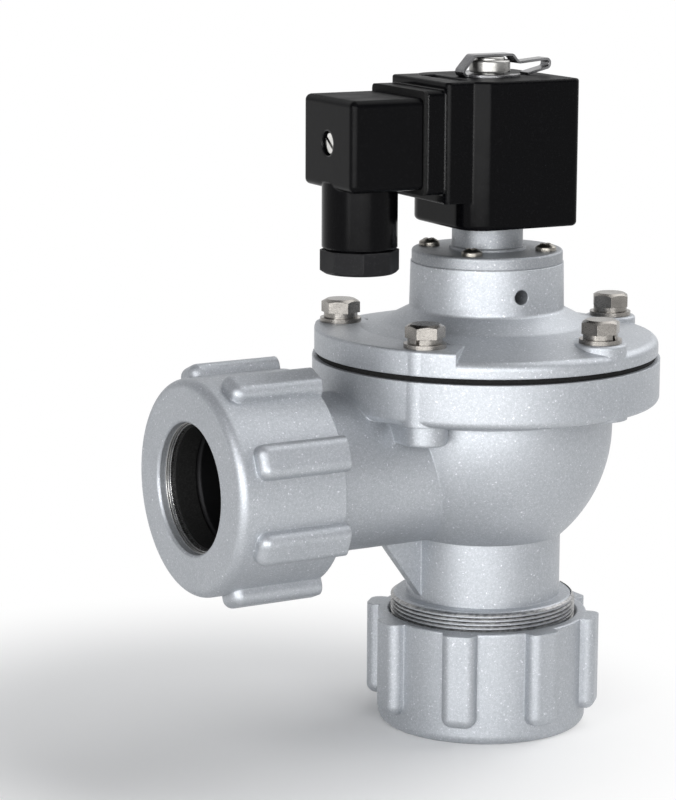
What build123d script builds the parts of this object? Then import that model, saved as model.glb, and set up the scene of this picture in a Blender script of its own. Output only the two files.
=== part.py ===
from build123d import *
import os
from math import cos, radians, sin, sqrt, tan

# How far a cut runs past the face it opens, and a joined piece into its neighbour
past = 1.0

# Pipe joint, the same at both ports: a plain pipe held by a ribbed compression nut
pipe_radius = 16.85
pipe_play = 0.4
pipe_depth = 30.0
thread_root_radius = 26.3
thread_height = 0.6
thread_play = 0.15
nut_radius = 30.4
nut_length = 33.0
nut_lip = 3.6
nut_mouth_radius = 18.4
nut_mouth_round = 2.6
nut_mouth_bevel = 0.6
nut_end_chamfer = 0.8
nut_end_round = 0.5
rib_count = 8
rib_width = 9.8
rib_height = 3.8
rib_round = 2.8
rib_corner = 3.0
rib_inset = 5.5
rib_root = 3.0
washer_hole_play = 0.85
washer_thickness = 1.4
seal_hole_play = 0.3
seal_length = 6.4
seal_bevel = 1.6
ring_play = 0.35

# Body casting
inlet_rise = 22.2
inlet_reach = 97.2
neck_radius = 22.4
collar_top = 38.4
collar_chamfer = 0.9
arm_half_height = 22.8
arm_half_width = 20.9
wall = 4.0
bowl_foot_height = 57.1
bowl_foot_radius = 23.2
bowl_depth = 36.3
bowl_wall_over = 3.2
bowl_curve = 43.0
flange_edge_rise = 3.0
flange_overhang = 0.6
flange_round = 2.0
flange_root = 1.0
flange_depth = 12.2
flow_radius = 14.0
nozzle_wall = 3.2
nozzle_lip = 1.2
seat_drop = 5.2
chamber_inset = 9.0
web_thickness = 3.4
web_reach = 13.0
web_rise = 8.0
lug_radius = 6.6
lug_depth = 3.5
lug_round = 0.8

# Bolts round the flange: the first stands a little off the line of the inlet
bolt_count = 5
bolt_inset = 7.2
pattern_turn = -2.7
boss_radius = 8.0
boss_drop = 0.6
pad_radius = 7.4
bolt_radius = 3.0
bolt_length = 20.0
bolt_hole_play = 0.3
tapped_hole_play = 0.05
hex_across_flats = 9.8
hex_height = 3.9
hex_chamfer = 0.8
spring_washer_radius = 4.9
spring_washer_thickness = 1.5
spring_washer_gap = 1.0
spring_washer_play = 0.15
flat_washer_radius = 6.0
flat_washer_thickness = 1.2

# Main cover
diaphragm_thickness = 1.6
cover_radius = 49.6
diaphragm_inset = 0.8
rim_drop = 2.8
rim_round = 2.4
pad_rise = 7.0
pad_round = 0.8
land_overrun = 14.0
shoulder_reach = 8.0
shoulder_rise = 1.4
tower_radius = 22.0
tower_foot_rise = 5.4
tower_rise = 18.8
tower_flare = 5.0
tower_foot_round = 1.2
tower_draft = 0.3
cover_room_inset = 9.4
cover_room_slope_width = 8.0
cover_room_slope_height = 3.0
spring_pocket_radius = 13.0
spring_pocket_rise = 7.2
pilot_floor_thickness = 4.0
pilot_room_radius = 14.0
pilot_seat_radius = 5.4
pilot_seat_draft = 1.0
pilot_seat_drop = 3.8
pilot_bore_radius = 3.2
vent_radius = 2.1
vent_drop = 7.7
vent_turn = -97.0

# Main diaphragm and its plates
main_lift = 3.6
main_lift_play = 2.5
fold_round = 1.6
diaphragm_disc_radius = 18.6
diaphragm_run_inset = 4.4
upper_plate_radius = 16.5
upper_plate_thickness = 1.2
lower_plate_radius = 12.4
lower_plate_thickness = 1.5
lower_plate_bevel = 1.0
rivet_radius = 2.6
rivet_head_radius = 4.6
rivet_head_height = 1.4
main_spring_radius = 9.4
main_spring_wire = 1.3
main_spring_turns = 3
spring_ring_play = 0.4

# Pilot diaphragm under the cap
pilot_thickness = 1.0
pilot_rim_radius = 15.2
pilot_disc_radius = 6.6
pilot_run_radius = 12.6
pilot_plate_radius = 5.6
pilot_plate_thickness = 0.9
pilot_rivet_radius = 1.4
pilot_rivet_head_radius = 2.6
pilot_rivet_head_height = 0.8
pilot_lift = 1.8
pilot_lift_play = 1.2
pilot_spring_radius = 4.1
pilot_spring_wire = 0.5
pilot_spring_turns = 3

# Pilot cap
cap_radius = 21.7
cap_thickness = 3.6
cap_round = 0.8
cap_screw_count = 4
cap_screw_circle = 17.25
cap_screw_radius = 1.5
cap_screw_length = 9.0
cap_screw_head_radius = 3.0
cap_screw_head_height = 2.1
cap_screw_rim = 1.15
cap_screw_crown_radius = 1.35
cap_screw_round = 0.7
cross_slot_width = 0.9
cross_slot_length = 3.6
cross_slot_depth = 1.2
cross_slot_turn = 20.0
boss_top_radius = 10.2
boss_foot_radius = 11.0
boss_foot_height = 0.9
boss_height = 6.9
boss_round = 0.4
cap_room_radius = 13.0
pilot_spring_pocket_radius = 5.6
pilot_spring_pocket_height = 4.6
orifice_radius = 0.9
orifice_ring = 0.7

# Stem: tube, fixed core and armature
tube_radius = 5.9
tube_wall = 0.9
tube_socket_depth = 4.3
tube_collar_radius = 7.2
armature_play = 0.08
armature_lift = 1.5
armature_length = 26.0
armature_seat_height = 1.0
armature_bevel = 0.6
armature_seal_radius = 2.6
armature_seal_thickness = 2.0
armature_bore_radius = 2.4
armature_bore_depth = 9.0
armature_spring_radius = 1.7
armature_spring_wire = 0.5
armature_spring_turns = 7
stem_neck_radius = 4.3
stem_head_radius = 5.85
stem_head_height = 3.6
stem_crown_radius = 4.3
stem_crown_height = 0.9
stem_round = 0.6
tube_top_drop = 1.0
core_shoulder_drop = 0.2
stem_seal_thickness = 0.6
stem_seal_inset = 1.4

# Coil, turned a few degrees on the stem
coil_turn = -3.0
coil_back = 18.9
coil_front = 17.0
coil_half_width = 19.0
coil_height = 41.8
coil_front_round = 8.5
coil_back_round = 2.0
coil_edge_round = 1.4
coil_bore_play = 0.3
block_reach = 23.0
block_half_width = 16.5
block_foot = 8.0
base_reach = 28.5
base_half_width = 15.4
base_height = 29.0
base_foot = 10.6
top_recess_start = 12.2
top_recess_end = 17.6
top_recess_half_width = 11.0
top_recess_depth = 0.8
winding_room_radius = 15.4
winding_room_inset = 3.4
yoke_thickness = 1.2
bobbin_wall = 1.0
winding_radius = 13.2
winding_inset = 0.6
inner_play = 0.1
terminal_width = 6.3
terminal_thickness = 0.8
terminal_spacing = 18.0
terminal_length = 12.0
terminal_root = 4.0
earth_blade_rise = 7.6

# Clip over the stem head: forked plate, strap and pull loop, bent from one strip
clip_thickness = 0.7
clip_plate_radius = 8.75
clip_width = 4.6
clip_bend = 1.1
clip_play = 0.3
clip_strap_gap = 0.05
clip_foot_reach = 11.0
clip_foot_lap = 4.5
clip_top_front = 6.0
clip_top_back = 6.4
clip_step_reach = 8.3
clip_step_drop = 2.3
clip_loop_reach = 18.6
clip_loop_drop = 1.4
clip_loop_rise = 1.7
clip_end_reach = 11.4

# Plug and cable gland
gasket_thickness = 1.1
plug_half_width = 14.8
plug_depth = 22.2
plug_height = 25.5
plug_foot = 12.1
plug_round = 1.8
plug_wall = 2.0
screw_recess_radius = 3.5
screw_recess_depth = 3.0
screw_head_radius = 2.9
screw_head_height = 2.2
screw_radius = 1.5
screw_slot_width = 0.9
screw_slot_turn = 35.0
insert_play = 0.15
insert_length = 13.0
insert_notch = 4.0
gland_offset = 11.9
gland_radius = 10.7
gland_length = 17.4
gland_bore_radius = 6.3
gland_chamfer = 0.8
gland_nut_radius = 11.2
gland_nut_sides = 8
gland_nut_height = 6.6
gland_nut_hole = 5.2
gland_nut_floor = 1.0
gland_nut_bevel = 1.3
gland_thread_radius = 8.9
gland_thread_length = 4.4
gland_thread_play = 0.15
grommet_height = 6.0
grommet_hole = 3.4
gland_washer_thickness = 1.0

# Heights and places worked out from the sizes above
pipe_hole_radius = pipe_radius + pipe_play
nut_bore_radius = thread_root_radius + thread_height + thread_play
body_foot = nut_lip + washer_thickness + seal_length
ring_radius = nut_bore_radius - ring_play
bolt_circle = cover_radius - bolt_inset
flange_radius = cover_radius + flange_overhang
chamber_radius = bolt_circle - chamber_inset
bowl_radius = chamber_radius + bowl_wall_over
cover_room_radius = bolt_circle - cover_room_inset
land_inner_radius = bolt_circle - pad_radius
shoulder_radius = tower_radius + shoulder_reach
diaphragm_run_radius = chamber_radius - diaphragm_run_inset
inlet_height = bowl_foot_height + inlet_rise
bowl_height = bowl_foot_height + bowl_depth
flange_edge_height = bowl_height + flange_edge_rise
seam_height = flange_edge_height + flange_depth
seat_height = seam_height - seat_drop
cover_foot = seam_height + diaphragm_thickness
pad_height = cover_foot + pad_rise
tower_top = pad_height + tower_rise
spring_pocket_height = cover_foot + spring_pocket_rise
pilot_floor_height = spring_pocket_height + pilot_floor_thickness
pilot_seat_height = tower_top - pilot_seat_drop
vent_height = tower_top - vent_drop
bolt_step = 360 / bolt_count
bolt_turns = [pattern_turn + bolt_step * step for step in range(bolt_count)]
inlet_bolt_turns = [turn for turn in bolt_turns if cos(radians(turn)) < -0.6]
rim_height = pad_height - rim_drop
shoulder_height = pad_height + shoulder_rise
tower_foot_height = pad_height + tower_foot_rise
main_stack_top = seat_height + diaphragm_thickness + upper_plate_thickness + main_spring_wire
cover_room_height = main_stack_top + main_lift + main_lift_play
pilot_stack_top = pilot_seat_height + pilot_thickness + pilot_plate_thickness + pilot_rivet_head_height
cap_room_height = pilot_stack_top + pilot_lift + pilot_lift_play
flat_washer_top = pad_height + flat_washer_thickness
spring_washer_top = flat_washer_top + spring_washer_thickness
cap_top = tower_top + cap_thickness
cap_screw_turns = [pattern_turn + 45 + 90 * step for step in range(cap_screw_count)]
boss_top = cap_top + boss_height
tube_foot = boss_top - tube_socket_depth
tube_bore_radius = tube_radius - tube_wall
armature_foot = tube_foot + armature_seat_height
armature_top = armature_foot + armature_length
core_foot = armature_top + armature_lift
coil_foot = boss_top + stem_seal_thickness
coil_top = coil_foot + coil_height
tube_top = coil_top - tube_top_drop
stem_head_foot = coil_top + clip_thickness + clip_play
stem_head_top = stem_head_foot + stem_head_height
plug_back = base_reach + gasket_thickness
plug_face = plug_back + plug_depth
plug_bottom = coil_foot + plug_foot
plug_top = plug_bottom + plug_height
plug_middle = plug_bottom + plug_height / 2
gland_axis = plug_back + gland_offset
gland_end = plug_bottom - gland_length
gland_nut_bottom = gland_end - gland_nut_height
gland_washer_low = gland_nut_bottom + gland_nut_floor
grommet_low = gland_washer_low + gland_washer_thickness


def turned(points, rounds=()):
    """Solid of revolution about Z from (radius, height) corners; rounds holds (corner, radius)."""
    outline = make_face(Polyline(*points, close=True))
    for corner, radius in rounds:
        outline = fillet(outline.vertices().sort_by_distance(Vector(*corner))[0], radius)
    return revolve(Plane.XZ * outline, Axis.Z)


def rod(radius, low, high, x=0, y=0):
    """Upright cylinder between two heights."""
    return Pos(x, y, low) * extrude(Circle(radius), high - low)


def tube(inner, outer, low, high):
    """Upright ring between two radii and two heights."""
    return turned([(inner, low), (outer, low), (outer, high), (inner, high)])


def block(x_low, x_high, y_low, y_high, z_low, z_high):
    """Box between two corners."""
    size = (x_high - x_low, y_high - y_low, z_high - z_low)
    middle = ((x_high + x_low) / 2, (y_high + y_low) / 2, (z_high + z_low) / 2)
    return Pos(*middle) * Box(*size)


def round_about(shape, turns, radius=0):
    """Copies of a shape set out round the Z axis."""
    return [Rot(0, 0, turn) * Pos(radius, 0, 0) * shape for turn in turns]


def joined(shapes):
    """One shape from several."""
    whole = shapes[0]
    for shape in shapes[1:]:
        whole += shape
    return whole


def to_inlet(shape):
    """Turns a piece made for the outlet, mouth down at height zero, to face out of the inlet."""
    return Pos(-inlet_reach, 0, inlet_height) * Rot(0, 90, 0) * shape


def coil_spring(radius, wire, turns, low, high):
    """Helical compression spring that fills the height between its two seats."""
    rise = high - low - wire
    path = Pos(0, 0, low + wire / 2) * Helix(rise / turns, rise, radius)
    start = path @ 0
    section = Plane(origin=start, x_dir=(1, 0, 0), z_dir=path % 0) * Circle(wire / 2)
    return sweep(section, path=path, is_frenet=True)


def hex_prism(across_flats, low, high):
    """Upright hexagonal prism."""
    return Pos(0, 0, low) * extrude(RegularPolygon(across_flats / sqrt(3), 6), high - low)


# Compression joint
def compression_nut(rib_turn):
    """Ribbed nut, mouth down at height zero, threaded from its upper end."""
    outside = turned(
        [(0, 0), (nut_radius, 0), (nut_radius, nut_length), (0, nut_length)],
        [((nut_radius, 0), nut_mouth_round), ((nut_radius, nut_length), nut_end_round)],
    )
    rib = block(nut_radius - rib_root, nut_radius + rib_height, -rib_width / 2, rib_width / 2,
                rib_inset, nut_length)
    rib = fillet(rib.edges().filter_by(Axis.X).group_by(Axis.Z)[0], rib_corner)
    crest = rib.faces().sort_by(Axis.X)[-1]
    rib = fillet(crest.edges().sort_by(Axis.Z)[:-1], rib_round)
    inside = turned(
        [
            (0, -past),
            (nut_mouth_radius + nut_mouth_bevel + past, -past),
            (nut_mouth_radius, nut_mouth_bevel),
            (nut_mouth_radius, nut_lip),
            (nut_bore_radius, nut_lip),
            (nut_bore_radius, nut_length - nut_end_chamfer),
            (nut_bore_radius + nut_end_chamfer, nut_length),
            (nut_bore_radius + nut_end_chamfer, nut_length + past),
            (0, nut_length + past),
        ]
    )
    rib_turns = [rib_turn + 360 / rib_count * step for step in range(rib_count)]
    return joined([outside] + round_about(rib, rib_turns)) - inside


def joint_washer():
    """Flat steel ring that rests on the nut's lip."""
    return tube(pipe_radius + washer_hole_play, ring_radius, nut_lip, nut_lip + washer_thickness)


def joint_seal():
    """Rubber ring squeezed between the washer and the end of the body's collar."""
    inner = pipe_radius + seal_hole_play
    low = nut_lip + washer_thickness
    return turned([(inner, low), (ring_radius, low), (ring_radius, body_foot), (inner, body_foot)])


# Body
def port_collar(length):
    """Round stock of a port's threaded end, at the root of its thread."""
    top = body_foot + length
    return turned(
        [
            (0, body_foot),
            (thread_root_radius - collar_chamfer, body_foot),
            (thread_root_radius, body_foot + collar_chamfer),
            (thread_root_radius, top - collar_chamfer),
            (thread_root_radius - collar_chamfer, top),
            (0, top),
        ]
    )


def bowl_outline(shrink, foot):
    """Half section of the bowl; shrink draws the inner wall instead of the outer one."""
    top = (bowl_radius - shrink, bowl_height)
    low = (bowl_foot_radius - shrink, bowl_foot_height + foot)
    side = RadiusArc(low, top, -(bowl_curve - shrink))
    rest = Polyline(top, (top[0], seam_height), (0, seam_height), (0, low[1]), low)
    return make_face(side + rest)


def flange_stock():
    """Flange under the seam with its bosses and the two deep lugs beside the inlet."""
    disc = turned(
        [
            (0, bowl_height),
            (bowl_radius + flange_root, bowl_height),
            (flange_radius, flange_edge_height),
            (flange_radius, seam_height),
            (0, seam_height),
        ],
        [((flange_radius, flange_edge_height), flange_round)],
    )
    boss = rod(boss_radius, flange_edge_height - boss_drop, seam_height)
    bosses = round_about(boss, bolt_turns, bolt_circle)
    lugs = [deep_lug(turn) for turn in inlet_bolt_turns]
    return joined([disc] + bosses + lugs)


def deep_lug(turn):
    """Deep boss under one bolt beside the inlet, run on as far as the inlet arm."""
    x = bolt_circle * cos(radians(turn))
    y = bolt_circle * sin(radians(turn))
    run = Pos(x, y / 2) * Rectangle(2 * lug_radius, abs(y))
    outline = run + Pos(x, y) * Circle(lug_radius)
    lug = Pos(0, 0, bowl_height - lug_depth) * extrude(outline, seam_height - bowl_height + lug_depth)
    return fillet(lug.faces().sort_by(Axis.Z)[0].edges().filter_by(GeomType.CIRCLE), lug_round)


def valve_body():
    """Angle body: outlet neck, bowl, inlet arm, flange, web and the nozzle that carries the seat."""
    outlet_collar = port_collar(collar_top - body_foot)
    neck = rod(neck_radius, collar_top - past, bowl_foot_height + past)
    bowl = revolve(Plane.XZ * bowl_outline(0, 0), Axis.Z)
    inlet_collar = to_inlet(port_collar(nut_length - body_foot - nut_end_chamfer))
    arm_start = inlet_reach - body_foot
    arm_section = Ellipse(arm_half_height, arm_half_width)
    arm = Pos(-arm_start, 0, inlet_height) * Rot(0, 90, 0) * extrude(arm_section, arm_start)
    web_corners = [
        (-neck_radius + past, collar_top),
        (-neck_radius - web_reach, inlet_height - arm_half_height + past),
        (-neck_radius + past, inlet_height - arm_half_height + web_rise),
    ]
    web_face = Plane.XZ * make_face(Polyline(*web_corners, close=True))
    web = extrude(web_face, web_thickness / 2, both=True)
    stock = joined([outlet_collar, neck, bowl, flange_stock(), inlet_collar, arm, web])

    chamber = revolve(Plane.XZ * bowl_outline(wall, wall), Axis.Z)
    chamber_mouth = rod(chamber_radius, bowl_height, seam_height + past)
    inlet_flow = Pos(-arm_start, 0, inlet_height) * Rot(0, 90, 0) * extrude(Circle(flow_radius), arm_start)
    nozzle_radius = flow_radius + nozzle_wall
    nozzle = turned(
        [
            (0, bowl_foot_height),
            (nozzle_radius, bowl_foot_height),
            (nozzle_radius, seat_height - nozzle_lip - nozzle_wall / 2),
            (flow_radius + nozzle_wall / 2, seat_height - nozzle_lip),
            (flow_radius + nozzle_wall / 2, seat_height),
            (0, seat_height),
        ]
    )
    outlet_flow = rod(flow_radius, body_foot - past, seat_height + past)
    socket = pipe_socket()
    body = stock - chamber - chamber_mouth - inlet_flow
    body = body + nozzle - outlet_flow - socket - to_inlet(socket)
    holes = round_about(
        rod(bolt_radius + tapped_hole_play, spring_washer_top - bolt_length - past, seam_height + past),
        bolt_turns,
        bolt_circle,
    )
    return body - joined(holes)


def pipe_socket():
    """Space in a port that takes the pipe's end, with its bevelled mouth."""
    return turned(
        [
            (0, body_foot - past),
            (pipe_hole_radius + seal_bevel + past, body_foot - past),
            (pipe_hole_radius, body_foot + seal_bevel),
            (pipe_hole_radius, body_foot + pipe_depth),
            (0, body_foot + pipe_depth),
        ]
    )


# Cover and its fasteners
def main_cover():
    """Round cover: rim, sloping top with bolt pads, land beside the inlet, and the tower."""
    top = turned(
        [
            (0, cover_foot),
            (cover_radius, cover_foot),
            (cover_radius, rim_height),
            (shoulder_radius, shoulder_height),
            (tower_radius + tower_draft, tower_foot_height),
            (tower_radius, tower_top),
            (0, tower_top),
        ],
        [
            ((cover_radius, rim_height), rim_round),
            ((shoulder_radius, shoulder_height), tower_flare),
            ((tower_radius + tower_draft, tower_foot_height), tower_foot_round),
        ],
    )
    boss = rod(pad_radius, cover_foot, pad_height)
    boss = fillet(boss.edges().sort_by(Axis.Z)[-1], pad_round)
    bosses = round_about(boss, bolt_turns, bolt_circle)
    land = cover_land()
    room = turned(
        [
            (0, cover_foot - past),
            (cover_room_radius, cover_foot - past),
            (cover_room_radius, cover_room_height - cover_room_slope_height),
            (cover_room_radius - cover_room_slope_width, cover_room_height),
            (spring_pocket_radius, cover_room_height),
            (spring_pocket_radius, spring_pocket_height),
            (0, spring_pocket_height),
        ]
    )
    pilot_room = turned(
        [
            (pilot_seat_radius + pilot_seat_draft, pilot_floor_height),
            (pilot_room_radius, pilot_floor_height),
            (pilot_room_radius, tower_top + past),
            (0, tower_top + past),
            (0, pilot_seat_height),
            (pilot_seat_radius, pilot_seat_height),
        ]
    )
    bore = rod(pilot_bore_radius, spring_pocket_height - past, pilot_seat_height + past)
    vent_axis = Rot(0, 0, vent_turn) * Pos(pilot_room_radius - past, 0, vent_height) * Rot(0, 90, 0)
    vent = vent_axis * extrude(Circle(vent_radius), tower_radius - pilot_room_radius + 2 * past)
    clear = rod(bolt_radius + bolt_hole_play, cover_foot - past, pad_height + past)
    clear += rod(boss_radius, pad_height, pad_height + shoulder_rise)
    tapped = rod(cap_screw_radius + tapped_hole_play, cap_top - cap_screw_length - past, tower_top + past)
    cuts = [room, pilot_room, bore, vent]
    cuts += round_about(clear, bolt_turns, bolt_circle)
    cuts += round_about(tapped, cap_screw_turns, cap_screw_circle)
    return joined([top] + bosses + [land]) - joined(cuts)


def cover_land():
    """Level stretch of the cover between the two bolts beside the inlet."""
    low = rim_height - rim_round - past
    outline = make_face(
        Polyline(
            (land_inner_radius, low),
            (cover_radius, low),
            (cover_radius, pad_height),
            (land_inner_radius, pad_height),
            close=True,
        )
    )
    corner = outline.vertices().sort_by_distance(Vector(cover_radius, pad_height))[0]
    outline = fillet(corner, pad_round)
    first = min(turn % 360 for turn in inlet_bolt_turns)
    last = max(turn % 360 for turn in inlet_bolt_turns)
    sweep_angle = last - first + 2 * land_overrun
    return Rot(0, 0, first - land_overrun) * revolve(Plane.XZ * outline, Axis.Z, sweep_angle)


def hex_bolt():
    """Hexagon bolt with a chamfered head, standing at its seat height."""
    head_top = spring_washer_top + hex_height
    head = hex_prism(hex_across_flats, spring_washer_top, head_top)
    corner_radius = hex_across_flats / sqrt(3)
    flat_radius = hex_across_flats / 2
    dome = turned(
        [
            (0, spring_washer_top),
            (corner_radius, spring_washer_top),
            (corner_radius, head_top - (corner_radius - flat_radius + hex_chamfer) * tan(radians(30))),
            (flat_radius - hex_chamfer, head_top),
            (0, head_top),
        ]
    )
    shank = rod(bolt_radius, spring_washer_top - bolt_length, spring_washer_top)
    return (head & dome) + shank


def spring_washer():
    """Split ring under the bolt's head."""
    ring = tube(bolt_radius + spring_washer_play, spring_washer_radius, flat_washer_top, spring_washer_top)
    slit = block(0, spring_washer_radius + past, -spring_washer_gap / 2, spring_washer_gap / 2,
                 flat_washer_top - past, spring_washer_top + past)
    return ring - slit


def flat_washer():
    """Plain ring between the split ring and the cover's pad."""
    return tube(bolt_radius + bolt_hole_play, flat_washer_radius, pad_height, flat_washer_top)


# Main diaphragm
def stepped_sheet(disc_low, rim_low, thickness, disc_radius, run_radius, outer_radius):
    """Moulded membrane: a level disc, one sloping fold and a level rim."""
    fold = min(fold_round, (run_radius - disc_radius) / 4)
    lower = [(0, disc_low), (disc_radius, disc_low), (run_radius, rim_low), (outer_radius, rim_low)]
    upper = [(radius, height + thickness) for radius, height in reversed(lower)]
    rounds = [(corner, fold) for corner in lower[1:3] + upper[1:3]]
    return turned(lower + upper, rounds)


def main_diaphragm():
    """Rubber membrane clamped at the seam, its disc lying on the nozzle."""
    sheet = stepped_sheet(seat_height, seam_height, diaphragm_thickness, diaphragm_disc_radius,
                          diaphragm_run_radius, cover_radius - diaphragm_inset)
    holes = round_about(rod(bolt_radius + bolt_hole_play, seam_height - past, cover_foot + past),
                        bolt_turns, bolt_circle)
    return sheet - joined(holes) - rod(rivet_radius, seat_height - past, cover_foot)


def diaphragm_upper_plate():
    """Pressed disc above the membrane, with an upturned ring that centres the spring."""
    low = seat_height + diaphragm_thickness
    top = low + upper_plate_thickness
    ring_outer = main_spring_radius - main_spring_wire / 2 - spring_ring_play
    return turned(
        [
            (rivet_radius, low),
            (upper_plate_radius, low),
            (upper_plate_radius, top),
            (ring_outer, top),
            (ring_outer, top + main_spring_wire),
            (ring_outer - upper_plate_thickness, top + main_spring_wire),
            (ring_outer - upper_plate_thickness, top),
            (rivet_radius, top),
        ]
    )


def diaphragm_lower_plate():
    """Disc that clamps the membrane from below, inside the nozzle."""
    return turned(
        [
            (rivet_radius, seat_height - lower_plate_thickness),
            (lower_plate_radius - lower_plate_bevel, seat_height - lower_plate_thickness),
            (lower_plate_radius, seat_height),
            (rivet_radius, seat_height),
        ]
    )


def diaphragm_rivet():
    """Rivet through both plates, its heads against them."""
    low = seat_height - lower_plate_thickness
    high = seat_height + diaphragm_thickness + upper_plate_thickness
    return turned(
        [
            (0, low - rivet_head_height),
            (rivet_head_radius, low - rivet_head_height),
            (rivet_head_radius, low),
            (rivet_radius, low),
            (rivet_radius, high),
            (rivet_head_radius, high),
            (rivet_head_radius, high + rivet_head_height),
            (0, high + rivet_head_height),
        ]
    )


def main_spring():
    """Spring between the upper plate and the cover."""
    low = seat_height + diaphragm_thickness + upper_plate_thickness
    return coil_spring(main_spring_radius, main_spring_wire, main_spring_turns, low, spring_pocket_height)


# Pilot diaphragm
def pilot_diaphragm():
    """Small membrane clamped under the cap, its disc lying on the pilot seat."""
    sheet = stepped_sheet(pilot_seat_height, tower_top, pilot_thickness, pilot_disc_radius,
                          pilot_run_radius, pilot_rim_radius)
    return sheet - rod(pilot_rivet_radius, pilot_seat_height - past, tower_top)


def pilot_plate():
    """Disc on top of the small membrane."""
    low = pilot_seat_height + pilot_thickness
    return tube(pilot_rivet_radius, pilot_plate_radius, low, low + pilot_plate_thickness)


def pilot_rivet():
    """Rivet through the small membrane and its disc."""
    high = pilot_seat_height + pilot_thickness + pilot_plate_thickness
    return turned(
        [
            (0, pilot_seat_height - pilot_rivet_head_height),
            (pilot_rivet_head_radius, pilot_seat_height - pilot_rivet_head_height),
            (pilot_rivet_head_radius, pilot_seat_height),
            (pilot_rivet_radius, pilot_seat_height),
            (pilot_rivet_radius, high),
            (pilot_rivet_head_radius, high),
            (pilot_rivet_head_radius, high + pilot_rivet_head_height),
            (0, high + pilot_rivet_head_height),
        ]
    )


def pilot_spring():
    """Spring between the small disc and the cap."""
    low = pilot_seat_height + pilot_thickness + pilot_plate_thickness
    return coil_spring(pilot_spring_radius, pilot_spring_wire, pilot_spring_turns,
                       low, tower_top + pilot_spring_pocket_height)


# Cap
def pilot_cap():
    """Disc that closes the tower, with the boss that carries the stem."""
    outside = turned(
        [
            (0, tower_top),
            (cap_radius, tower_top),
            (cap_radius, cap_top),
            (boss_foot_radius, cap_top),
            (boss_foot_radius, cap_top + boss_foot_height),
            (boss_top_radius, cap_top + boss_foot_height),
            (boss_top_radius, boss_top),
            (0, boss_top),
        ],
        [((cap_radius, cap_top), cap_round), ((boss_top_radius, boss_top), boss_round),
         ((boss_foot_radius, cap_top + boss_foot_height), boss_round)],
    )
    room = turned(
        [
            (0, tower_top - past),
            (pilot_rim_radius, tower_top - past),
            (pilot_rim_radius, tower_top + pilot_thickness),
            (cap_room_radius, tower_top + pilot_thickness),
            (cap_room_radius, cap_room_height),
            (pilot_spring_pocket_radius, cap_room_height),
            (pilot_spring_pocket_radius, tower_top + pilot_spring_pocket_height),
            (0, tower_top + pilot_spring_pocket_height),
        ]
    )
    orifice = rod(orifice_radius, tower_top, armature_foot + past)
    socket = tube(orifice_radius + orifice_ring, tube_collar_radius, tube_foot, armature_foot)
    socket += rod(tube_collar_radius, armature_foot, boss_top + past)
    clear = rod(cap_screw_radius + bolt_hole_play, tower_top - past, cap_top + past)
    cuts = [room, orifice, socket] + round_about(clear, cap_screw_turns, cap_screw_circle)
    return outside - joined(cuts)


def cap_screw():
    """Pan-head screw with a cross slot."""
    head_top = cap_top + cap_screw_head_height
    head = turned(
        [
            (0, cap_top),
            (cap_screw_head_radius, cap_top),
            (cap_screw_head_radius, cap_top + cap_screw_rim),
            (cap_screw_crown_radius, head_top),
            (0, head_top),
        ],
        [((cap_screw_head_radius, cap_top + cap_screw_rim), cap_screw_round)],
    )
    slot = Box(cross_slot_length, cross_slot_width, cross_slot_depth * 2)
    cross = Pos(0, 0, head_top) * Rot(0, 0, cross_slot_turn) * (slot + Rot(0, 0, 90) * slot)
    return head + rod(cap_screw_radius, cap_top - cap_screw_length, cap_top) - cross


# Stem
def armature_tube():
    """Thin tube that guides the armature, with the collar that sits in the cap's boss."""
    return turned(
        [
            (tube_bore_radius, tube_foot),
            (tube_collar_radius, tube_foot),
            (tube_collar_radius, boss_top),
            (tube_radius, boss_top),
            (tube_radius, tube_top),
            (tube_bore_radius, tube_top),
        ]
    )


def fixed_core():
    """Steel plug that closes the tube; its head stands above the coil."""
    crown_top = stem_head_top + stem_crown_height
    return turned(
        [
            (0, core_foot),
            (tube_bore_radius, core_foot),
            (tube_bore_radius, tube_top),
            (tube_radius, tube_top),
            (tube_radius, coil_top - core_shoulder_drop),
            (stem_neck_radius, coil_top - core_shoulder_drop),
            (stem_neck_radius, stem_head_foot),
            (stem_head_radius, stem_head_foot),
            (stem_head_radius, stem_head_top),
            (stem_crown_radius, stem_head_top),
            (stem_crown_radius, crown_top),
            (0, crown_top),
        ],
        [((stem_head_radius, stem_head_foot), stem_round), ((stem_head_radius, stem_head_top), stem_round),
         ((stem_crown_radius, crown_top), stem_round)],
    )


def armature():
    """Sliding iron plunger with a pocket for its spring and one for its seal."""
    radius = tube_bore_radius - armature_play
    low = armature_foot
    return turned(
        [
            (armature_seal_radius, low),
            (radius - armature_bevel, low),
            (radius, low + armature_bevel),
            (radius, armature_top - armature_bevel),
            (radius - armature_bevel, armature_top),
            (armature_bore_radius, armature_top),
            (armature_bore_radius, armature_top - armature_bore_depth),
            (0, armature_top - armature_bore_depth),
            (0, low + armature_seal_thickness),
            (armature_seal_radius, low + armature_seal_thickness),
        ]
    )


def armature_seal():
    """Rubber disc in the plunger's foot that closes the orifice."""
    return rod(armature_seal_radius, armature_foot, armature_foot + armature_seal_thickness)


def armature_spring():
    """Spring between the plunger's pocket and the fixed core."""
    return coil_spring(armature_spring_radius, armature_spring_wire, armature_spring_turns,
                       armature_top - armature_bore_depth, core_foot)


def stem_seal():
    """Flat rubber ring between the cap's boss and the coil."""
    return tube(tube_radius + coil_bore_play, boss_top_radius - stem_seal_inset, boss_top, coil_foot)


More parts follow.
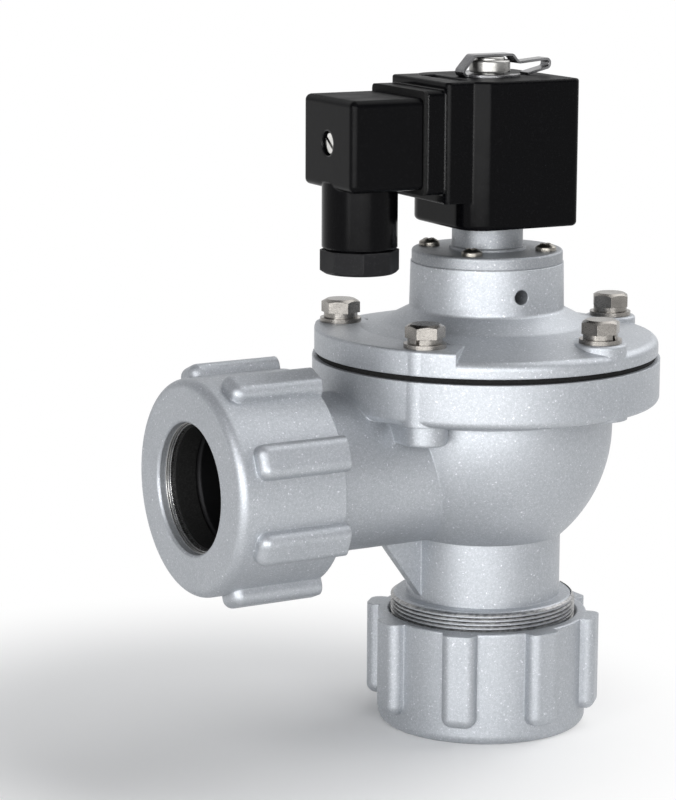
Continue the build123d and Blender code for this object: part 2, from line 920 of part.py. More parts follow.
# Coil
def coil_housing():
    """Moulded coil body with its terminal block and plug base, hollow for the winding."""
    body = block(-coil_front, coil_back, -coil_half_width, coil_half_width, coil_foot, coil_top)
    uprights = body.edges().filter_by(Axis.Z).group_by(Axis.X)
    body = fillet(uprights[0], coil_front_round)
    body = fillet(body.edges().filter_by(Axis.Z).group_by(Axis.X)[-1], coil_back_round)
    body = fillet(body.faces().sort_by(Axis.Z)[0].edges(), coil_edge_round)
    body = fillet(body.faces().sort_by(Axis.Z)[-1].edges(), coil_edge_round / 2)
    terminal = block(-block_reach, 0, -block_half_width, block_half_width,
                     coil_foot + block_foot, coil_top)
    terminal = fillet(terminal.edges().filter_by(Axis.Z).group_by(Axis.X)[0], coil_edge_round)
    terminal = fillet(terminal.faces().sort_by(Axis.X)[0].edges().sort_by(Axis.Z)[-1], coil_edge_round / 2)
    base_low = coil_foot + base_foot
    base = block(-base_reach, 0, -base_half_width, base_half_width, base_low, base_low + base_height)
    base = fillet(base.edges().filter_by(Axis.X), coil_edge_round)
    whole = body + terminal + base
    room = rod(winding_room_radius, coil_foot + winding_room_inset, coil_top - winding_room_inset)
    bore = rod(tube_radius + coil_bore_play, coil_foot - past, coil_top + past)
    recess = block(-top_recess_end, -top_recess_start, -top_recess_half_width, top_recess_half_width,
                   coil_top - top_recess_depth, coil_top + past)
    recess = fillet(recess.edges().filter_by(Axis.Z), (top_recess_end - top_recess_start) / 3)
    return whole - room - bore - recess - joined(terminal_slots())


def terminal_slots(play=0):
    """Space of the three blades, as boxes along the plug's direction."""
    half = terminal_thickness / 2 + play
    wide = terminal_width / 2 + play
    x_low = -(plug_back + terminal_length) - play
    x_high = -(base_reach - terminal_root) + play
    pair = [block(x_low, x_high, y - half, y + half, plug_middle - wide, plug_middle + wide)
            for y in (-terminal_spacing / 2, terminal_spacing / 2)]
    earth_height = plug_middle + earth_blade_rise
    earth = block(x_low, x_high, -wide, wide, earth_height - half, earth_height + half)
    return pair + [earth]


def coil_yoke():
    """Iron can round the winding."""
    outer = winding_room_radius - inner_play
    low = coil_foot + winding_room_inset + inner_play
    high = coil_top - winding_room_inset - inner_play
    inner = tube_radius + coil_bore_play + bobbin_wall + inner_play
    return turned(
        [
            (inner, low),
            (outer, low),
            (outer, high),
            (inner, high),
            (inner, high - yoke_thickness),
            (outer - yoke_thickness, high - yoke_thickness),
            (outer - yoke_thickness, low + yoke_thickness),
            (inner, low + yoke_thickness),
        ]
    )


def coil_bobbin():
    """Plastic spool that carries the wire."""
    bore = tube_radius + coil_bore_play
    low = coil_foot + winding_room_inset + inner_play * 2 + yoke_thickness
    high = coil_top - winding_room_inset - inner_play * 2 - yoke_thickness
    return turned(
        [
            (bore, low),
            (winding_radius, low),
            (winding_radius, low + bobbin_wall),
            (bore + bobbin_wall, low + bobbin_wall),
            (bore + bobbin_wall, high - bobbin_wall),
            (winding_radius, high - bobbin_wall),
            (winding_radius, high),
            (bore, high),
        ]
    )


def coil_winding():
    """Wound copper between the spool's flanges."""
    end = winding_room_inset + inner_play * 2 + yoke_thickness + bobbin_wall
    inner = tube_radius + coil_bore_play + bobbin_wall
    return tube(inner, winding_radius - winding_inset, coil_foot + end, coil_top - end)


def coil_terminals():
    """Three tin-plated blades between coil and plug."""
    return joined(terminal_slots())


def coil_clip():
    """Spring-steel clip: forked plate under the stem's head, strap over it, and a pull loop."""
    leg = coil_top + clip_thickness / 2
    strap = stem_head_top + stem_crown_height + clip_thickness / 2 + clip_strap_gap
    line = FilletPolyline(
        (clip_foot_lap - clip_foot_reach, 0, leg),
        (-clip_foot_reach, 0, leg),
        (-clip_top_front, 0, strap),
        (clip_top_back, 0, strap),
        (clip_step_reach, 0, strap - clip_step_drop),
        (clip_loop_reach, 0, strap - clip_loop_drop),
        (clip_loop_reach, 0, leg + clip_loop_rise),
        (clip_end_reach, 0, leg),
        radius=clip_bend,
    )
    slot_half = stem_neck_radius + clip_play
    slot = rod(slot_half, coil_top - past, stem_head_foot)
    slot += block(0, clip_plate_radius + past, -slot_half, slot_half, coil_top - past, stem_head_foot)
    plate = rod(clip_plate_radius, coil_top, coil_top + clip_thickness) - slot
    return plate + trace_strip(line)


def trace_strip(line):
    """Strip of the clip's thickness along a bent line, centred on the plane y = 0."""
    flat = Plane.XZ.location.inverse() * line
    section = Plane.XZ * trace(flat, clip_thickness)
    return extrude(section, clip_width / 2, both=True)


# Plug
def plug_gasket():
    """Flat rubber gasket between the coil's base and the plug."""
    low = coil_foot + base_foot
    sheet = block(-plug_back, -base_reach, -base_half_width, base_half_width,
                  low, low + base_height)
    sheet = fillet(sheet.edges().filter_by(Axis.X), coil_edge_round)
    hole = along_plug(screw_radius + bolt_hole_play, base_reach - past, plug_back + past)
    return sheet - hole - joined(terminal_slots())


def along_plug(radius, start, end):
    """Cylinder along the plug's middle line between two reaches from the stem."""
    return Pos(-end, 0, plug_middle) * Rot(0, 90, 0) * extrude(Circle(radius), end - start)


def plug_housing():
    """Moulded plug: rounded box open towards the coil, with screw recess and gland barrel."""
    box = block(-plug_face, -plug_back, -plug_half_width, plug_half_width, plug_bottom, plug_top)
    box = fillet(box.edges().filter_by(Axis.X) + box.faces().sort_by(Axis.X)[0].edges(), plug_round)
    barrel = turned(
        [
            (0, gland_end),
            (gland_radius - gland_chamfer, gland_end),
            (gland_radius, gland_end + gland_chamfer),
            (gland_radius, plug_bottom + plug_round),
            (0, plug_bottom + plug_round),
        ]
    )
    neck = rod(gland_thread_radius, gland_end - gland_thread_length, gland_end)
    box += Pos(-gland_axis, 0, 0) * (barrel + neck)
    room = block(-plug_face + plug_wall + screw_recess_depth, -plug_back + past,
                 -plug_half_width + plug_wall, plug_half_width - plug_wall,
                 plug_bottom + plug_wall, plug_top - plug_wall)
    passage = rod(gland_bore_radius, gland_end - gland_thread_length - past,
                  plug_bottom + plug_wall + past, x=-gland_axis)
    seat = plug_face - screw_recess_depth
    recess = along_plug(screw_recess_radius, seat, plug_face + past)
    shaft = along_plug(screw_radius + bolt_hole_play, seat - plug_wall - past, plug_face)
    return box - room - passage - recess - shaft


def contact_insert():
    """Contact block inside the plug that takes the blades."""
    half = plug_half_width - plug_wall - insert_play
    low = plug_bottom + plug_wall + insert_play
    high = plug_top - plug_wall - insert_play
    body = block(-plug_back - insert_length, -plug_back, -half, half, low, high)
    hole = along_plug(screw_radius + bolt_hole_play, plug_back - past, plug_back + insert_length + past)
    passage = rod(gland_bore_radius, low - past, low + insert_notch, x=-gland_axis)
    return body - hole - passage - joined(terminal_slots(insert_play))


def plug_screw():
    """Long slotted screw through plug, insert and gasket into the coil's base."""
    seat = plug_face - screw_recess_depth
    head = along_plug(screw_head_radius, seat, seat + screw_head_height)
    shank = along_plug(screw_radius, base_reach, seat)
    slot = Box(screw_head_height, 2 * screw_head_radius + past, screw_slot_width)
    turned_slot = Pos(-seat - screw_head_height, 0, plug_middle) * Rot(screw_slot_turn, 0, 0) * slot
    return head + shank - turned_slot


def gland_grommet():
    """Rubber bush that grips the cable in the gland."""
    outer = gland_bore_radius - inner_play
    return Pos(-gland_axis, 0, 0) * tube(grommet_hole, outer, grommet_low, grommet_low + grommet_height)


def gland_washer():
    """Thin ring between bush and gland nut."""
    ring = tube(gland_nut_hole, gland_bore_radius - inner_play, gland_washer_low, grommet_low)
    return Pos(-gland_axis, 0, 0) * ring


def gland_nut():
    """Faceted nut that closes the gland."""
    low = gland_nut_bottom
    prism = extrude(RegularPolygon(gland_nut_radius, gland_nut_sides), gland_nut_height)
    prism = Pos(0, 0, low) * Rot(0, 0, 180 / gland_nut_sides) * prism
    cone = turned(
        [
            (0, low),
            (gland_nut_radius - gland_nut_bevel, low),
            (gland_nut_radius, low + gland_chamfer),
            (gland_nut_radius, gland_end),
            (0, gland_end),
        ]
    )
    bore = turned(
        [
            (0, low - past),
            (gland_nut_hole, low - past),
            (gland_nut_hole, low + gland_nut_floor),
            (gland_thread_radius + gland_thread_play, low + gland_nut_floor),
            (gland_thread_radius + gland_thread_play, gland_end + past),
            (0, gland_end + past),
        ]
    )
    return Pos(-gland_axis, 0, 0) * ((prism & cone) - bore)


def fixed_pieces():
    """Pieces that never move against the body casting."""
    return {
        "valve_body": valve_body(),
        "main_diaphragm": main_diaphragm(),
        "main_cover": main_cover(),
        "cover_flat_washers": joined(round_about(flat_washer(), bolt_turns, bolt_circle)),
        "cover_spring_washers": joined(round_about(spring_washer(), bolt_turns, bolt_circle)),
        "cover_bolts": joined(round_about(hex_bolt(), bolt_turns, bolt_circle)),
        "main_spring": main_spring(),
        "pilot_diaphragm": pilot_diaphragm(),
        "pilot_spring": pilot_spring(),
        "pilot_cap": pilot_cap(),
        "cap_screws": joined(round_about(cap_screw(), cap_screw_turns, cap_screw_circle)),
        "armature_tube": armature_tube(),
        "fixed_core": fixed_core(),
        "armature_spring": armature_spring(),
        "stem_seal": stem_seal(),
    }


def moving_pieces():
    """Pieces that lift inside, and the joint pieces at the two ports."""
    pieces = {
        "diaphragm_upper_plate": diaphragm_upper_plate(),
        "diaphragm_lower_plate": diaphragm_lower_plate(),
        "diaphragm_rivet": diaphragm_rivet(),
        "pilot_plate": pilot_plate(),
        "pilot_rivet": pilot_rivet(),
        "armature": armature(),
        "armature_seal": armature_seal(),
        "outlet_nut": compression_nut(0),
        "outlet_washer": joint_washer(),
        "outlet_seal": joint_seal(),
        "inlet_nut": to_inlet(compression_nut(180 / rib_count)),
        "inlet_washer": to_inlet(joint_washer()),
        "inlet_seal": to_inlet(joint_seal()),
    }
    return pieces


def coil_pieces():
    """Coil, clip and plug, which swivel together on the stem."""
    pieces = {
        "coil_housing": coil_housing(),
        "coil_yoke": coil_yoke(),
        "coil_bobbin": coil_bobbin(),
        "coil_winding": coil_winding(),
        "coil_terminals": coil_terminals(),
        "coil_clip": coil_clip(),
        "plug_gasket": plug_gasket(),
        "plug_housing": plug_housing(),
        "contact_insert": contact_insert(),
        "plug_screw": plug_screw(),
        "gland_grommet": gland_grommet(),
        "gland_washer": gland_washer(),
        "gland_nut": gland_nut(),
    }
    return {name: Rot(0, 0, coil_turn) * shape for name, shape in pieces.items()}


os.makedirs("parts", exist_ok=True)
for name, shape in {**fixed_pieces(), **moving_pieces(), **coil_pieces()}.items():
    export_step(shape, f"parts/{name}.step")
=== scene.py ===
import bpy
from math import cos, pi, radians, sin
from mathutils import Matrix, Vector


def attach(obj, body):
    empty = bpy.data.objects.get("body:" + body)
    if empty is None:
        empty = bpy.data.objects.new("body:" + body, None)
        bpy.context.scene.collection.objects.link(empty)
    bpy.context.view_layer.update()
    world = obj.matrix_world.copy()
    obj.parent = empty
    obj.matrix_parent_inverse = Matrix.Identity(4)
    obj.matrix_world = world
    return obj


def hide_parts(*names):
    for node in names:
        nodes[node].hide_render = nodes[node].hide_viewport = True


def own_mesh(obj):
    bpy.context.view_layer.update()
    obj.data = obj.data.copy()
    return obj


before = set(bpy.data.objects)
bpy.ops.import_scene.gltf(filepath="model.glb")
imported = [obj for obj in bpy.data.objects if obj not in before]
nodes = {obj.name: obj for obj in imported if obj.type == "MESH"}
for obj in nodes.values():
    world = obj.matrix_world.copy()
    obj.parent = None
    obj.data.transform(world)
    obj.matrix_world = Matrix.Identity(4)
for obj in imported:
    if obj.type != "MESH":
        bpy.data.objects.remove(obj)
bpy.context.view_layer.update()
MM = 0.001

# Camera fitted to the photograph
CAMERA_AZIMUTH, CAMERA_ELEVATION, CAMERA_ROLL = radians(-30.56), radians(10.89), radians(0.26)
CAMERA_DISTANCE = 872.4 * MM
CAMERA_LENS, CAMERA_SENSOR = 135.4, 36
AIM_ACROSS, AIM_HEIGHT = -42.64 * MM, 94.88 * MM

# Sizes of the solids that the added pieces and the edges of the painted shade inside the ports
# follow
INLET_AXIS = 79.3 * MM
INLET_MOUTH = -97.2 * MM
THREAD_ROOT, THREAD_CREST = 26.3 * MM, 26.95 * MM
THREAD_LOW, THREAD_HIGH = 31.0 * MM, 37.9 * MM
THREAD_PITCH = 1.15 * MM
# Painted shade: within these radii and lengths the paint inside the inlet arm and the outlet neck
# turns near-black
BORE_SHADE_EDGE = (18.6 * MM, 19.2 * MM)
ARM_SHADE_START, ARM_SHADE_END = (-88.5 * MM, -87.8 * MM), (-32 * MM, -26 * MM)
NECK_SHADE_START, NECK_SHADE_END = (10.5 * MM, 11.2 * MM), (98 * MM, 100 * MM)
RING_RADIUS, RING_WIRE = 18.2 * MM, 0.22 * MM
RING_DEPTHS = (2.6 * MM, 3.2 * MM)

# Studio
FLOOR_HALF_WIDTH = 6.0
FADE_CENTRE, FADE_START, FADE_END = (-0.07, 0.03, 0.0), 0.06, 0.155
WHITE = (1, 1, 1, 1)
BLACK = (0, 0, 0, 1)
TOWARD_BACK = (0.51, 0.86, 0.0)
FRONT_TONE, FRONT_END, BACK_START = (0.3, 0.3, 0.315, 1), 0.25, 1.0
FILL_TONE, FILL_STRENGTH = (0.93, 0.96, 1, 1), 0.2
LAMP_AIM = Vector((-0.01, 0, 0.1))


def place_camera():
    """Long lens a little above the valve, looking between its inlet and its front."""
    right = Vector((cos(CAMERA_AZIMUTH), sin(CAMERA_AZIMUTH), 0))
    back = Vector((sin(CAMERA_AZIMUTH) * cos(CAMERA_ELEVATION),
                   -cos(CAMERA_AZIMUTH) * cos(CAMERA_ELEVATION), sin(CAMERA_ELEVATION)))
    up = back.cross(right)
    target = AIM_ACROSS * right + Vector((0, 0, AIM_HEIGHT))
    rolled_right = cos(CAMERA_ROLL) * right + sin(CAMERA_ROLL) * up
    rolled_up = cos(CAMERA_ROLL) * up - sin(CAMERA_ROLL) * right
    camera = bpy.data.objects.new("camera", bpy.data.cameras.new("camera"))
    camera.data.lens = CAMERA_LENS
    camera.data.sensor_width = CAMERA_SENSOR
    camera.data.sensor_height = CAMERA_SENSOR
    camera.data.sensor_fit = "AUTO"
    camera.data.clip_end = 20
    turned = Matrix((rolled_right, rolled_up, back)).transposed().to_4x4()
    camera.matrix_world = Matrix.Translation(target + CAMERA_DISTANCE * back) @ turned
    bpy.context.collection.objects.link(camera)
    bpy.context.scene.camera = camera


# Shader nodes
def add_node(tree, kind, inputs=(), **settings):
    """A node with its settings; inputs maps a socket to a value or to another node's output."""
    made = tree.nodes.new("ShaderNode" + kind)
    for key, value in settings.items():
        setattr(made, key, value)
    for key, value in dict(inputs).items():
        if isinstance(value, bpy.types.NodeSocket):
            tree.links.new(value, made.inputs[key])
        else:
            made.inputs[key].default_value = value
    return made


def math_node(tree, operation, first, second):
    """A sum, product or other result of two values."""
    return add_node(tree, "Math", {0: first, 1: second}, operation=operation).outputs[0]


class Look:
    """A material with one Principled shader and shortcuts for its procedural detail."""

    def __init__(self, name, **values):
        self.material = bpy.data.materials.new(name)
        self.material.use_nodes = True
        self.tree = self.material.node_tree
        self.shader = self.tree.nodes["Principled BSDF"]
        self.place = self.node("TexCoord").outputs["Object"]
        for key, value in values.items():
            self.shader.inputs[key.replace("_", " ")].default_value = value

    def node(self, kind, inputs=(), **settings):
        """A node in this material."""
        return add_node(self.tree, kind, inputs, **settings)

    def math(self, operation, first, second):
        """A sum, product or other result of two values."""
        return math_node(self.tree, operation, first, second)

    def vector_math(self, operation, first, second=(0, 0, 0)):
        """A distance, length or dot product of vectors."""
        inputs = {0: first, 1: second}
        return self.node("VectorMath", inputs, operation=operation).outputs["Value"]

    def mapped(self, scale=(1, 1, 1), turn=(0, 0, 0)):
        """The object's own coordinates, scaled by axis and turned."""
        inputs = {"Vector": self.place, "Scale": scale, "Rotation": turn}
        return self.node("Mapping", inputs).outputs[0]

    def noise(self, size, detail=2.0, vector=None, roughness=0.5):
        """Soft noise whose blotches are about size metres across."""
        inputs = {"Vector": vector or self.place, "Scale": 1 / size,
                  "Detail": detail, "Roughness": roughness}
        return self.node("TexNoise", inputs).outputs["Fac"]

    def cells(self, size, vector=None):
        """A random grey for each cell of that size."""
        made = self.node("TexVoronoi", {"Vector": vector or self.place, "Scale": 1 / size})
        return self.node("SeparateColor", {"Color": made.outputs["Color"]}).outputs[0]

    def span(self, value, low, high, new_low=0, new_high=1, **settings):
        """A value moved from one range to another, clamped."""
        inputs = {"Value": value, "From Min": low, "From Max": high,
                  "To Min": new_low, "To Max": new_high}
        return self.node("MapRange", inputs, **settings).outputs[0]

    def blend(self, factor, first, second):
        """A colour between two colours."""
        return self.node("Mix", {0: factor, 6: first, 7: second}, data_type="RGBA").outputs[2]

    def feed(self, key, output):
        """Links an output to one of the shader's sockets."""
        self.tree.links.new(output, self.shader.inputs[key])

    def relief(self, height, depth, strength, below=None):
        """Bump of a depth in metres on top of another normal."""
        inputs = {"Height": height, "Distance": depth, "Strength": strength}
        if below is not None:
            inputs["Normal"] = below
        return self.node("Bump", inputs).outputs[0]

    def eased(self, radius):
        """Normal that rounds sharp edges by that radius."""
        return self.node("Bevel", {"Radius": radius}, samples=4).outputs[0]


def grey(level):
    """A neutral grey."""
    return (level, level, level, 1)


def scaled(color, factor, lift=0.0):
    """A colour times a factor, a little lifted, and at most white."""
    return tuple(min(1, part * factor + lift) for part in color) + (1,)


# Materials
def cast_paint(name="cast_paint", shaded_tone=1.0):
    """Silver paint over die-cast aluminium: a soft metal sheen full of tiny flakes, with painted
    shade that turns it near-black inside the ports."""
    look = Look(name, Metallic=0.8)
    flakes = look.cells(0.22 * MM)
    specks = look.cells(0.4 * MM, look.mapped(turn=(0.4, 0.7, 0.2)))
    mottle = look.noise(0.7 * MM, 4, roughness=0.65)
    patches = look.noise(20 * MM, 3)
    base = look.blend(look.span(patches, 0.35, 0.65),
                      (0.395, 0.415, 0.44, 1), (0.445, 0.465, 0.49, 1))
    grainy = look.blend(look.span(mottle, 0.3, 0.7), (0.33, 0.35, 0.375, 1), (0.53, 0.55, 0.58, 1))
    base = look.blend(0.45, base, grainy)
    base = look.blend(look.span(flakes, 0.8, 1.0, 0, 0.3), base, (0.82, 0.84, 0.88, 1))
    base = look.blend(look.span(specks, 0.985, 1.0, 0, 0.5), base, (0.95, 0.96, 1.0, 1))
    # Painted shade: a tone below one darkens the whole paint towards black, standing in for shade
    base = look.blend(1 - shaded_tone, base, BLACK)
    # Painted shade: inside the inlet arm and the outlet neck the paint is blended to near-black
    look.feed("Base Color", look.blend(painted_bore_shade(look), base, (0.012, 0.012, 0.013, 1)))
    look.feed("Roughness", look.span(flakes, 0, 1, 0.56, 0.44))
    normal = look.relief(patches, 0.4 * MM, 0.2, look.eased(0.6 * MM))
    normal = look.relief(mottle, 0.04 * MM, 0.5, normal)
    look.feed("Normal", look.relief(flakes, 0.02 * MM, 0.4, normal))
    return look.material


def painted_bore_shade(look):
    """Painted shade mask: one deep inside the inlet arm and the outlet neck, where the bores lie
    in shade, else nought.
    """
    x, y, z = look.node("SeparateXYZ", {0: look.place}).outputs
    across = look.node("CombineXYZ", {1: y, 2: z}).outputs[0]
    from_arm = look.vector_math("DISTANCE", across, (0, 0, INLET_AXIS))
    from_neck = look.vector_math("LENGTH", look.node("CombineXYZ", {0: x, 1: y}).outputs[0])
    inside = []
    for distance, along, start, end in ((from_arm, x, ARM_SHADE_START, ARM_SHADE_END),
                                        (from_neck, z, NECK_SHADE_START, NECK_SHADE_END)):
        within = look.math("MULTIPLY", look.span(distance, *BORE_SHADE_EDGE, 1, 0),
                           look.span(along, *start))
        inside.append(look.math("MULTIPLY", within, look.span(along, *end, 1, 0)))
    return look.math("MAXIMUM", *inside)


def rolled_steel(name, color, roughness, edge=0.3 * MM):
    """Bright steel with faint tool marks and stains."""
    look = Look(name, Metallic=1.0)
    stains = look.noise(4 * MM, 4)
    marks = look.noise(0.6 * MM, 3, look.mapped((1, 1, 8)))
    look.feed("Base Color", look.blend(look.span(stains, 0.3, 0.7),
                                       scaled(color, 0.78), scaled(color, 1.12)))
    look.feed("Roughness", look.span(marks, 0.3, 0.7, roughness * 0.75, roughness * 1.35))
    look.feed("Normal", look.relief(marks, 0.05 * MM, 0.25, look.eased(edge)))
    return look.material


def moulded_plastic(name, color, roughness, texture=0.06, edge=0.8 * MM):
    """Moulded plastic: faint waviness, edges rubbed bright, upper faces dulled by dust."""
    look = Look(name, Metallic=0.0, IOR=1.15, Coat_Roughness=0.12)
    waves = look.noise(6 * MM)
    dust = look.noise(0.7 * MM, 5)
    pores = look.noise(0.4 * MM)
    look.feed("Base Color", look.blend(look.span(dust, 0.55, 0.8),
                                       (*color, 1), scaled(color, 1.6, 0.002)))
    rounded = look.eased(edge)
    flat = look.node("NewGeometry").outputs["Normal"]
    upward = look.node("SeparateXYZ", {0: flat}).outputs[2]
    shine = look.span(waves, 0.3, 0.7, roughness * 0.8, roughness * 1.25)
    look.feed("Roughness", look.math("ADD", shine, look.span(upward, 0.5, 0.95, 0, 0.3)))
    look.feed("Specular IOR Level", look.span(upward, 0.5, 0.95, 0.5, 0.3))
    on_face = look.vector_math("DOT_PRODUCT", rounded, flat)
    look.feed("Coat Weight", look.span(on_face, 0.8, 0.98, 0.7, 0))
    look.feed("Coat Normal", rounded)
    normal = look.relief(waves, 0.3 * MM, 0.1, rounded)
    look.feed("Normal", look.relief(pores, 0.05 * MM, texture, normal))
    return look.material


def rubber():
    """Matte black rubber with a fine grain."""
    look = Look("rubber", Roughness=0.72, Specular_IOR_Level=0.15)
    grain = look.noise(0.5 * MM, 4)
    look.feed("Base Color", look.blend(look.span(grain, 0.4, 0.7), grey(0.006), grey(0.014)))
    look.feed("Normal", look.relief(grain, 0.06 * MM, 0.35, look.eased(0.3 * MM)))
    return look.material


def cut_thread():
    """Bare thread flanks, duller than the paint round them."""
    look = Look("cut_thread", Metallic=1.0, Roughness=0.36)
    grime = look.noise(1.2 * MM, 4)
    look.feed("Base Color", look.blend(look.span(grime, 0.35, 0.65), grey(0.2), grey(0.42)))
    look.feed("Normal", look.relief(look.noise(0.4 * MM), 0.04 * MM, 0.5))
    return look.material


def wound_copper():
    """Enamelled wire laid turn by turn, its colour dark in the grooves between turns and bright on
    their crests: painted shade and painted highlight.
    """
    look = Look("wound_copper", Metallic=0.9, Roughness=0.32)
    inputs = {"Vector": look.place, "Scale": 320.0, "Distortion": 0.4, "Detail": 1.0}
    turns = look.node("TexWave", inputs, wave_type="BANDS", bands_direction="Z").outputs["Fac"]
    # Painted shade in the grooves and painted highlight on the crests of the turns
    look.feed("Base Color", look.blend(turns, (0.38, 0.13, 0.05, 1), (0.78, 0.36, 0.18, 1)))
    look.feed("Normal", look.relief(turns, 0.3 * MM, 0.8))
    return look.material


def dress(names, material):
    """Gives CAD nodes one material in all their slots."""
    for name in names:
        if not nodes[name].material_slots:
            nodes[name].data.materials.append(material)
        for slot in nodes[name].material_slots:
            slot.material = material


def dress_all():
    """Materials of all the CAD nodes."""
    dress(["valve_body", "main_cover", "outlet_nut", "inlet_nut"], cast_paint())
    # Painted shade: the pilot cap, which sits under the coil, gets a darker copy of the paint
    dress(["pilot_cap"], cast_paint("cap_paint_shaded", shaded_tone=0.72))
    dress(["cover_bolts", "cover_spring_washers", "cover_flat_washers"],
          rolled_steel("bolt_steel", (0.29, 0.275, 0.255), 0.28, edge=0.15 * MM))
    dress(["cap_screws"], rolled_steel("screw_steel", (0.3, 0.285, 0.255), 0.32))
    dress(["outlet_washer", "inlet_washer", "gland_washer", "diaphragm_upper_plate",
           "diaphragm_lower_plate", "diaphragm_rivet", "pilot_plate", "pilot_rivet"],
          rolled_steel("plate_steel", (0.64, 0.64, 0.64), 0.28))
    dress(["armature_tube", "fixed_core", "armature", "coil_yoke"],
          rolled_steel("stem_steel", (0.38, 0.375, 0.36), 0.3))
    dress(["main_spring", "pilot_spring", "armature_spring", "coil_clip"],
          rolled_steel("spring_steel", (0.25, 0.25, 0.255), 0.26, edge=0.2 * MM))
    dress(["plug_screw"], rolled_steel("plated_screw", (0.82, 0.81, 0.78), 0.14))
    dress(["main_diaphragm", "pilot_diaphragm", "armature_seal", "outlet_seal", "inlet_seal",
           "stem_seal", "plug_gasket", "gland_grommet"], rubber())
    dress(["coil_housing"],
          moulded_plastic("coil_plastic", (0.0016, 0.0016, 0.002), 0.13, edge=0.7 * MM))
    dress(["plug_housing"], moulded_plastic("plug_plastic", (0.0022, 0.0022, 0.0026), 0.17))
    dress(["gland_nut", "contact_insert"],
          moulded_plastic("nut_plastic", (0.014, 0.014, 0.015), 0.4, texture=0.16))
    dress(["coil_bobbin"], moulded_plastic("bobbin_plastic", (0.6, 0.57, 0.48), 0.4))
    dress(["coil_winding"], wound_copper())
    dress(["coil_terminals"], rolled_steel("blade_metal", (0.72, 0.7, 0.66), 0.25))


# Added pieces
def add_piece(name, mesh, body):
    """A mesh as a piece of its own that rides on a body."""
    piece = bpy.data.objects.new(name, mesh)
    bpy.context.collection.objects.link(piece)
    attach(piece, body)
    return piece


def thread_piece():
    """Right-hand thread of the outlet collar as one closed helical ridge."""
    steps, run_out = 72, 18
    half, flat = THREAD_PITCH * 0.46, 0.22
    sunk = THREAD_ROOT - 0.3 * MM
    rows = int((THREAD_HIGH - THREAD_LOW) / THREAD_PITCH * steps) + 1
    points, faces = [], []
    for row in range(rows):
        angle = 2 * pi * row / steps
        height = THREAD_LOW + THREAD_PITCH * row / steps
        grow = min(1.0, row / run_out, (rows - 1 - row) / run_out)
        top = THREAD_ROOT + (THREAD_CREST - THREAD_ROOT) * grow
        section = ((sunk, -half), (top, -half * flat), (top, half * flat), (sunk, half))
        for radius, offset in section:
            points.append((radius * cos(angle), radius * sin(angle), height + offset))
    for row in range(rows - 1):
        a, b = row * 4, row * 4 + 4
        for side in range(4):
            faces.append((a + side, b + side, b + (side + 1) % 4, a + (side + 1) % 4))
    end = (rows - 1) * 4
    faces.extend([(0, 1, 2, 3), (end + 3, end + 2, end + 1, end)])
    mesh = bpy.data.meshes.new("outlet_thread")
    mesh.from_pydata(points, [], faces)
    mesh.validate()
    mesh.update()
    mesh.materials.append(cut_thread())
    add_piece("outlet_thread", mesh, "valve")


def ring_mesh(name, turn, place, material):
    """Thin round ring whose axis is the Z axis turned by that much about Y."""
    steps, sides = 96, 10
    points, faces = [], []
    for step in range(steps):
        angle = 2 * pi * step / steps
        for side in range(sides):
            around = 2 * pi * side / sides
            reach = RING_RADIUS + RING_WIRE * cos(around)
            points.append((reach * cos(angle), reach * sin(angle), RING_WIRE * sin(around)))
    for step in range(steps):
        row, next_row = step * sides, (step + 1) % steps * sides
        for side in range(sides):
            beside = (side + 1) % sides
            faces.append((row + side, next_row + side, next_row + beside, row + beside))
    mesh = bpy.data.meshes.new(name)
    mesh.from_pydata(points, [], faces)
    mesh.transform(Matrix.Translation(place) @ Matrix.Rotation(turn, 4, "Y"))
    for face in mesh.polygons:
        face.use_smooth = True
    mesh.materials.append(material)
    return mesh


def mouth_rings():
    """Snap rings that hold the washer behind each nut's mouth, two turns of wire each."""
    metal = rolled_steel("ring_steel", (0.4, 0.4, 0.39), 0.3, edge=0.1 * MM)
    for count, depth in enumerate(RING_DEPTHS):
        for side, turn, place in (("inlet", pi / 2, (INLET_MOUTH + depth, 0, INLET_AXIS)),
                                  ("outlet", 0, (0, 0, depth))):
            name = f"{side}_ring_{count}"
            mesh = ring_mesh(name, turn, Vector(place), metal)
            add_piece(name, mesh, f"{side}_nut_unit")


def flexing_piece(node):
    """Copy of a spring or membrane that rides on the valve body in place of the hidden CAD node.
    """
    piece = add_piece(node + "_flexing", nodes[node].data.copy(), "valve")
    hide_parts(node)
    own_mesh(piece)


def flexing_pieces():
    """Springs and membranes that the main piston, the pilot piston and the plunger press."""
    flexing_piece("main_spring")
    flexing_piece("main_diaphragm")
    flexing_piece("pilot_spring")
    flexing_piece("pilot_diaphragm")
    flexing_piece("armature_spring")


# Floor, background and light
def shown_white(tree):
    """One for the rays that show the background: straight, mirrored and through glass."""
    rays = add_node(tree, "LightPath").outputs
    total = rays["Is Camera Ray"]
    for name in ("Is Glossy Ray", "Is Transmission Ray"):
        total = math_node(tree, "MAXIMUM", total, rays[name])
    return total


def lay_floor():
    """Large pale floor that keeps the valve's shadow and fades to white round it."""
    edge = FLOOR_HALF_WIDTH
    mesh = bpy.data.meshes.new("floor")
    mesh.from_pydata([(-edge, -edge, 0), (edge, -edge, 0), (edge, edge, 0), (-edge, edge, 0)],
                     [], [(0, 1, 2, 3)])
    floor = bpy.data.objects.new("floor", mesh)
    bpy.context.collection.objects.link(floor)
    look = Look("floor_paint", Roughness=0.7, Specular_IOR_Level=0.1)
    look.feed("Base Color", look.blend(look.noise(0.4), grey(0.9), grey(0.92)))
    distance = look.vector_math("DISTANCE", look.place, FADE_CENTRE)
    away = look.span(distance, FADE_START, FADE_END, interpolation_type="SMOOTHSTEP")
    share = look.math("MULTIPLY", away, shown_white(look.tree))
    white = look.node("Emission", {"Color": WHITE, "Strength": 1.0}).outputs[0]
    mixed = look.node("MixShader", {0: share, 1: look.shader.outputs[0], 2: white}).outputs[0]
    look.tree.links.new(mixed, look.tree.nodes["Material Output"].inputs["Surface"])
    floor.data.materials.append(look.material)


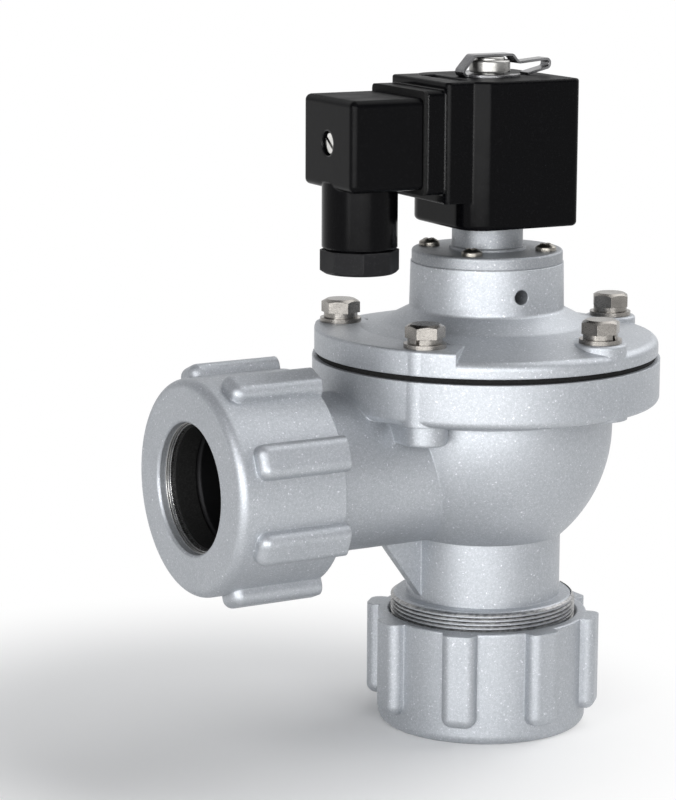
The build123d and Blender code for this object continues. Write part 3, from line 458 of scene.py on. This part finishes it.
def light_world():
    """White background, white mirrored too on the far side and dimmer on the camera's,
    and a soft even light for matte surfaces."""
    world = bpy.data.worlds.new("studio")
    world.use_nodes = True
    bpy.context.scene.world = world
    tree = world.node_tree
    tree.nodes.clear()
    direction = add_node(tree, "TexCoord").outputs["Generated"]
    farness = add_node(tree, "VectorMath", {0: direction, 1: TOWARD_BACK}, operation="DOT_PRODUCT")
    room = add_node(tree, "ValToRGB", {0: farness.outputs["Value"]})
    near, far = room.color_ramp.elements
    near.color, near.position = FRONT_TONE, FRONT_END
    far.color, far.position = WHITE, BACK_START
    straight = add_node(tree, "LightPath").outputs["Is Camera Ray"]
    shown = add_node(tree, "Mix", {0: straight, 6: room.outputs[0], 7: WHITE}, data_type="RGBA")
    seen = add_node(tree, "Background", {"Color": shown.outputs[2], "Strength": 1.0})
    fill = add_node(tree, "Background", {"Color": FILL_TONE, "Strength": FILL_STRENGTH})
    sockets = {0: shown_white(tree), 1: fill.outputs[0], 2: seen.outputs[0]}
    mixed = add_node(tree, "MixShader", sockets)
    add_node(tree, "OutputWorld", {"Surface": mixed.outputs[0]})


def softbox(name, turn, rise, distance, width, height, power):
    """Rectangular lamp that looks at the valve from a direction given in degrees."""
    turn, rise = radians(turn), radians(rise)
    aside = Vector((sin(turn) * cos(rise), -cos(turn) * cos(rise), sin(rise)))
    lamp = bpy.data.objects.new(name, bpy.data.lights.new(name, "AREA"))
    lamp.data.shape = "RECTANGLE"
    lamp.data.size = width
    lamp.data.size_y = height
    lamp.data.energy = power
    lamp.location = LAMP_AIM + distance * aside
    lamp.rotation_euler = (-aside).to_track_quat("-Z", "Y").to_euler()
    bpy.context.collection.objects.link(lamp)


def light_up():
    """Wide soft key round the camera, a thin strip at its left for glints,
    and a box above on the right."""
    softbox("key", turn=-36, rise=9, distance=1.1, width=1.6, height=0.55, power=13.0)
    softbox("strip", turn=-64, rise=14, distance=1.0, width=0.07, height=0.6, power=1.8)
    softbox("top", turn=84, rise=47, distance=0.95, width=1.1, height=1.1, power=7.6)


bpy.context.scene.view_settings.view_transform = "Standard"
place_camera()
dress_all()
thread_piece()
mouth_rings()
flexing_pieces()
lay_floor()
light_world()
light_up()
